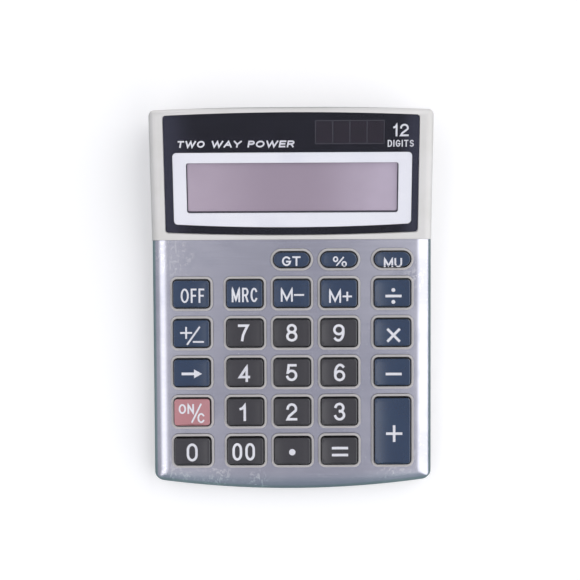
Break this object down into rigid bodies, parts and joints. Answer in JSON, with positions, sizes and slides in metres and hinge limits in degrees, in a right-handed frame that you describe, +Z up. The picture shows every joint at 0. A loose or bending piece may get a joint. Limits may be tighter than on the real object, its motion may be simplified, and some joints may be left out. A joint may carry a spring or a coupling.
{
  "type": "desk calculator",
  "caption": "Desk calculator with a sloping display hood, a solar cell, a brushed metal faceplate and sprung dished keys.",
  "frame": {"origin": "on the table under the middle of the case", "axes": "+X to the right, +Y towards the display, +Z up"},
  "size_m": [0.108, 0.147, 0.0285],
  "materials": {
    "digit_keys": "satin moulded",
    "function_keys": "satin moulded",
    "clear_key": "satin moulded",
    "case": "fine moulded grain",
    "case_bottom": "fine moulded grain",
    "faceplate": "brushed sheet, worn",
    "window": "clear acrylic, polished",
    "mask": "printed black film",
    "surround": "white moulded",
    "lcd": "blank liquid crystal display",
    "reflector": "foil",
    "screws": "zinc plated",
    "ribbon": "amber film",
    "ribbon_paper": "plain",
    "solar": "dark amorphous cell",
    "wires": "PVC covered",
    "silicone": "translucent silicone",
    "carbon": "conductive",
    "board": "solder mask",
    "epoxy": "cured resin",
    "capacitor": "sleeved can",
    "battery": "plain jacket",
    "contacts": "nickel plated",
    "feet": "matt"
  },
  "bodies": {
    "case": {"upper_case": "case", "lower_case": "case_bottom", "faceplate": "faceplate", "display_window": "window", "window_mask": "mask", "lcd_surround": "surround", "lcd_glass": "lcd", "lcd_reflector": "reflector", "lcd_holder": "surround", "lcd_screws": "screws", "lcd_ribbon": "ribbon", "solar_cell": "solar", "solar_wires": "wires", "key_mat": "silicone", "carbon_pads": "carbon", "main_board": "board", "board_screws": "screws", "chip_blob": "epoxy", "capacitors": "capacitor", "resistors": "epoxy", "battery_cell": "battery", "battery_insulator": "ribbon_paper", "contact_plate": "contacts", "contact_spring": "contacts", "battery_wires": "wires", "case_screws": "screws", "rubber_feet": "feet"},
    "key_0_cap": {"key_0": "digit_keys"},
    "key_00_cap": {"key_00": "digit_keys"},
    "key_point_cap": {"key_point": "digit_keys"},
    "key_equals_cap": {"key_equals": "digit_keys"},
    "key_1_cap": {"key_1": "digit_keys"},
    "key_2_cap": {"key_2": "digit_keys"},
    "key_3_cap": {"key_3": "digit_keys"},
    "key_4_cap": {"key_4": "digit_keys"},
    "key_5_cap": {"key_5": "digit_keys"},
    "key_6_cap": {"key_6": "digit_keys"},
    "key_7_cap": {"key_7": "digit_keys"},
    "key_8_cap": {"key_8": "digit_keys"},
    "key_9_cap": {"key_9": "digit_keys"},
    "key_plus_cap": {"key_plus": "function_keys"},
    "key_arrow_cap": {"key_arrow": "function_keys"},
    "key_minus_cap": {"key_minus": "function_keys"},
    "key_sign_cap": {"key_sign": "function_keys"},
    "key_multiply_cap": {"key_multiply": "function_keys"},
    "key_off_cap": {"key_off": "function_keys"},
    "key_mrc_cap": {"key_mrc": "function_keys"},
    "key_m_minus_cap": {"key_m_minus": "function_keys"},
    "key_m_plus_cap": {"key_m_plus": "function_keys"},
    "key_divide_cap": {"key_divide": "function_keys"},
    "key_gt_cap": {"key_gt": "function_keys"},
    "key_percent_cap": {"key_percent": "function_keys"},
    "key_mu_cap": {"key_mu": "function_keys"},
    "key_on_clear_cap": {"key_on_clear": "clear_key"},
    "battery_door_panel": {"battery_door": "case_bottom"}
  },
  "joints": [
    {"name": "key_0_press", "type": "slide", "parent": "case", "child": "key_0_cap", "axis": [0, 0.0523, -0.9986], "range_m": [0, 0.0013], "stiffness_N_per_m": 260, "springref_m": -0.0012, "deforming": ["key_mat"]},
    {"name": "key_00_press", "type": "slide", "parent": "case", "child": "key_00_cap", "axis": [0, 0.0523, -0.9986], "range_m": [0, 0.0013], "stiffness_N_per_m": 260, "springref_m": -0.0012, "deforming": ["key_mat"]},
    {"name": "key_point_press", "type": "slide", "parent": "case", "child": "key_point_cap", "axis": [0, 0.0523, -0.9986], "range_m": [0, 0.0013], "stiffness_N_per_m": 260, "springref_m": -0.0012, "deforming": ["key_mat"]},
    {"name": "key_equals_press", "type": "slide", "parent": "case", "child": "key_equals_cap", "axis": [0, 0.0523, -0.9986], "range_m": [0, 0.0013], "stiffness_N_per_m": 260, "springref_m": -0.0012, "deforming": ["key_mat"]},
    {"name": "key_1_press", "type": "slide", "parent": "case", "child": "key_1_cap", "axis": [0, 0.0523, -0.9986], "range_m": [0, 0.0013], "stiffness_N_per_m": 260, "springref_m": -0.0012, "deforming": ["key_mat"]},
    {"name": "key_2_press", "type": "slide", "parent": "case", "child": "key_2_cap", "axis": [0, 0.0523, -0.9986], "range_m": [0, 0.0013], "stiffness_N_per_m": 260, "springref_m": -0.0012, "deforming": ["key_mat"]},
    {"name": "key_3_press", "type": "slide", "parent": "case", "child": "key_3_cap", "axis": [0, 0.0523, -0.9986], "range_m": [0, 0.0013], "stiffness_N_per_m": 260, "springref_m": -0.0012, "deforming": ["key_mat"]},
    {"name": "key_4_press", "type": "slide", "parent": "case", "child": "key_4_cap", "axis": [0, 0.0523, -0.9986], "range_m": [0, 0.0013], "stiffness_N_per_m": 260, "springref_m": -0.0012, "deforming": ["key_mat"]},
    {"name": "key_5_press", "type": "slide", "parent": "case", "child": "key_5_cap", "axis": [0, 0.0523, -0.9986], "range_m": [0, 0.0013], "stiffness_N_per_m": 260, "springref_m": -0.0012, "deforming": ["key_mat"]},
    {"name": "key_6_press", "type": "slide", "parent": "case", "child": "key_6_cap", "axis": [0, 0.0523, -0.9986], "range_m": [0, 0.0013], "stiffness_N_per_m": 260, "springref_m": -0.0012, "deforming": ["key_mat"]},
    {"name": "key_7_press", "type": "slide", "parent": "case", "child": "key_7_cap", "axis": [0, 0.0523, -0.9986], "range_m": [0, 0.0013], "stiffness_N_per_m": 260, "springref_m": -0.0012, "deforming": ["key_mat"]},
    {"name": "key_8_press", "type": "slide", "parent": "case", "child": "key_8_cap", "axis": [0, 0.0523, -0.9986], "range_m": [0, 0.0013], "stiffness_N_per_m": 260, "springref_m": -0.0012, "deforming": ["key_mat"]},
    {"name": "key_9_press", "type": "slide", "parent": "case", "child": "key_9_cap", "axis": [0, 0.0523, -0.9986], "range_m": [0, 0.0013], "stiffness_N_per_m": 260, "springref_m": -0.0012, "deforming": ["key_mat"]},
    {"name": "key_plus_press", "type": "slide", "parent": "case", "child": "key_plus_cap", "axis": [0, 0.0523, -0.9986], "range_m": [0, 0.0013], "stiffness_N_per_m": 260, "springref_m": -0.0012, "deforming": ["key_mat"]},
    {"name": "key_arrow_press", "type": "slide", "parent": "case", "child": "key_arrow_cap", "axis": [0, 0.0523, -0.9986], "range_m": [0, 0.0013], "stiffness_N_per_m": 260, "springref_m": -0.0012, "deforming": ["key_mat"]},
    {"name": "key_minus_press", "type": "slide", "parent": "case", "child": "key_minus_cap", "axis": [0, 0.0523, -0.9986], "range_m": [0, 0.0013], "stiffness_N_per_m": 260, "springref_m": -0.0012, "deforming": ["key_mat"]},
    {"name": "key_sign_press", "type": "slide", "parent": "case", "child": "key_sign_cap", "axis": [0, 0.0523, -0.9986], "range_m": [0, 0.0013], "stiffness_N_per_m": 260, "springref_m": -0.0012, "deforming": ["key_mat"]},
    {"name": "key_multiply_press", "type": "slide", "parent": "case", "child": "key_multiply_cap", "axis": [0, 0.0523, -0.9986], "range_m": [0, 0.0013], "stiffness_N_per_m": 260, "springref_m": -0.0012, "deforming": ["key_mat"]},
    {"name": "key_off_press", "type": "slide", "parent": "case", "child": "key_off_cap", "axis": [0, 0.0523, -0.9986], "range_m": [0, 0.0013], "stiffness_N_per_m": 260, "springref_m": -0.0012, "deforming": ["key_mat"]},
    {"name": "key_mrc_press", "type": "slide", "parent": "case", "child": "key_mrc_cap", "axis": [0, 0.0523, -0.9986], "range_m": [0, 0.0013], "stiffness_N_per_m": 260, "springref_m": -0.0012, "deforming": ["key_mat"]},
    {"name": "key_m_minus_press", "type": "slide", "parent": "case", "child": "key_m_minus_cap", "axis": [0, 0.0523, -0.9986], "range_m": [0, 0.0013], "stiffness_N_per_m": 260, "springref_m": -0.0012, "deforming": ["key_mat"]},
    {"name": "key_m_plus_press", "type": "slide", "parent": "case", "child": "key_m_plus_cap", "axis": [0, 0.0523, -0.9986], "range_m": [0, 0.0013], "stiffness_N_per_m": 260, "springref_m": -0.0012, "deforming": ["key_mat"]},
    {"name": "key_divide_press", "type": "slide", "parent": "case", "child": "key_divide_cap", "axis": [0, 0.0523, -0.9986], "range_m": [0, 0.0013], "stiffness_N_per_m": 260, "springref_m": -0.0012, "deforming": ["key_mat"]},
    {"name": "key_gt_press", "type": "slide", "parent": "case", "child": "key_gt_cap", "axis": [0, 0.0523, -0.9986], "range_m": [0, 0.0013], "stiffness_N_per_m": 260, "springref_m": -0.0012, "deforming": ["key_mat"]},
    {"name": "key_percent_press", "type": "slide", "parent": "case", "child": "key_percent_cap", "axis": [0, 0.0523, -0.9986], "range_m": [0, 0.0013], "stiffness_N_per_m": 260, "springref_m": -0.0012, "deforming": ["key_mat"]},
    {"name": "key_mu_press", "type": "slide", "parent": "case", "child": "key_mu_cap", "axis": [0, 0.0523, -0.9986], "range_m": [0, 0.0013], "stiffness_N_per_m": 260, "springref_m": -0.0012, "deforming": ["key_mat"]},
    {"name": "key_on_clear_press", "type": "slide", "parent": "case", "child": "key_on_clear_cap", "axis": [0, 0.0523, -0.9986], "range_m": [0, 0.0013], "stiffness_N_per_m": 260, "springref_m": -0.0012, "deforming": ["key_mat"]},
    {"name": "battery_door_slide", "type": "slide", "parent": "case", "child": "battery_door_panel", "axis": [0, 1, 0], "range_m": [0, 0.026]}
  ]
}
